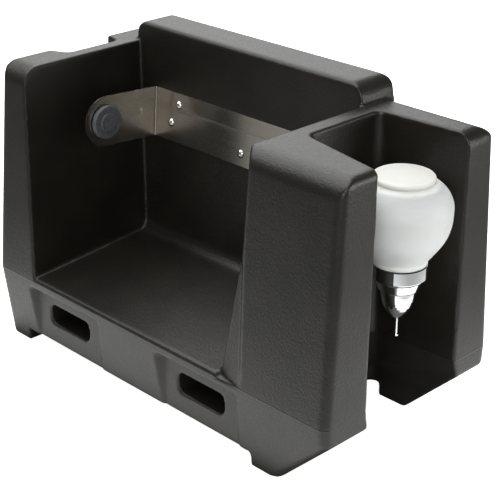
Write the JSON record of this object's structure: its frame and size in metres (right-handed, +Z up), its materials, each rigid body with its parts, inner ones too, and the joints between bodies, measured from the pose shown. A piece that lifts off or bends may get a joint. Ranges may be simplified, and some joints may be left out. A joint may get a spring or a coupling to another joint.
{
  "type": "hand-wash caddy",
  "caption": "Moulded hand-wash caddy with a towel-roll bay on a spring strap and a push-up globe soap dispenser in an open side bay.",
  "frame": {"origin": "middle of the whole object's footprint box, on the plane of the four feet", "axes": "+X to the right towards the open soap bay, +Y to the back, +Z up; the towel bay opens towards -Y and upwards"},
  "size_m": [0.5166, 0.243, 0.3405],
  "materials": {
    "moulded_body": "textured",
    "strap_sheet": "brushed",
    "rivet_steel": "polished",
    "plug": "matte",
    "dispenser_chrome": "polished",
    "globe_plastic": "satin",
    "lid_plastic": "satin",
    "seal_rubber": "matte",
    "spring_steel": "satin",
    "insert_brass": "machined"
  },
  "bodies": {
    "caddy": {"body": "moulded_body", "strap_back_plate": "strap_sheet", "strap_rivets": "rivet_steel", "dispenser_bracket": "dispenser_chrome", "bracket_screws": "rivet_steel", "bracket_inserts": "insert_brass", "globe": "globe_plastic", "neck_gasket": "seal_rubber", "valve_housing": "dispenser_chrome", "valve_seal": "seal_rubber", "spring_guide": "spring_steel", "return_spring": "spring_steel"},
    "left_arm": {"strap_left_flange": "strap_sheet", "left_arm_plate": "strap_sheet", "left_plug_rivet": "rivet_steel", "left_plug_washer": "rivet_steel"},
    "right_arm": {"strap_right_flange": "strap_sheet", "right_arm_plate": "strap_sheet", "right_plug_rivet": "rivet_steel", "right_plug_washer": "rivet_steel"},
    "left_hub": {"left_plug": "plug"},
    "right_hub": {"right_plug": "plug"},
    "lid": {"globe_lid": "lid_plastic"},
    "plunger": {"push_rod": "dispenser_chrome", "valve_head": "seal_rubber"}
  },
  "joints": [
    {"name": "left_arm_flex", "type": "hinge", "parent": "caddy", "child": "left_arm", "pos_m": [-0.18019, 0.0553, 0.244], "axis": [0, -0.0767, -0.9971], "range_deg": [0, 11], "stiffness_Nm_per_rad": 20},
    {"name": "right_arm_flex", "type": "hinge", "parent": "caddy", "child": "right_arm", "pos_m": [0.09962, 0.0553, 0.244], "axis": [0, 0.0767, 0.9971], "range_deg": [0, 3], "stiffness_Nm_per_rad": 20},
    {"name": "left_hub_spin", "type": "hinge", "parent": "left_arm", "child": "left_hub", "pos_m": [-0.17959, -0.02047, 0.24985], "axis": [1, 0, 0], "continuous": true},
    {"name": "right_hub_spin", "type": "hinge", "parent": "right_arm", "child": "right_hub", "pos_m": [0.09902, -0.02047, 0.24985], "axis": [1, 0, 0], "continuous": true},
    {"name": "lid_lift", "type": "slide", "parent": "caddy", "child": "lid", "axis": [0, 0, 1], "range_m": [0, 0.03]},
    {"name": "plunger_push", "type": "slide", "parent": "caddy", "child": "plunger", "axis": [0, 0, 1], "range_m": [0, 0.008], "stiffness_N_per_m": 300, "springref_m": -0.004, "deforming": ["return_spring"]}
  ]
}
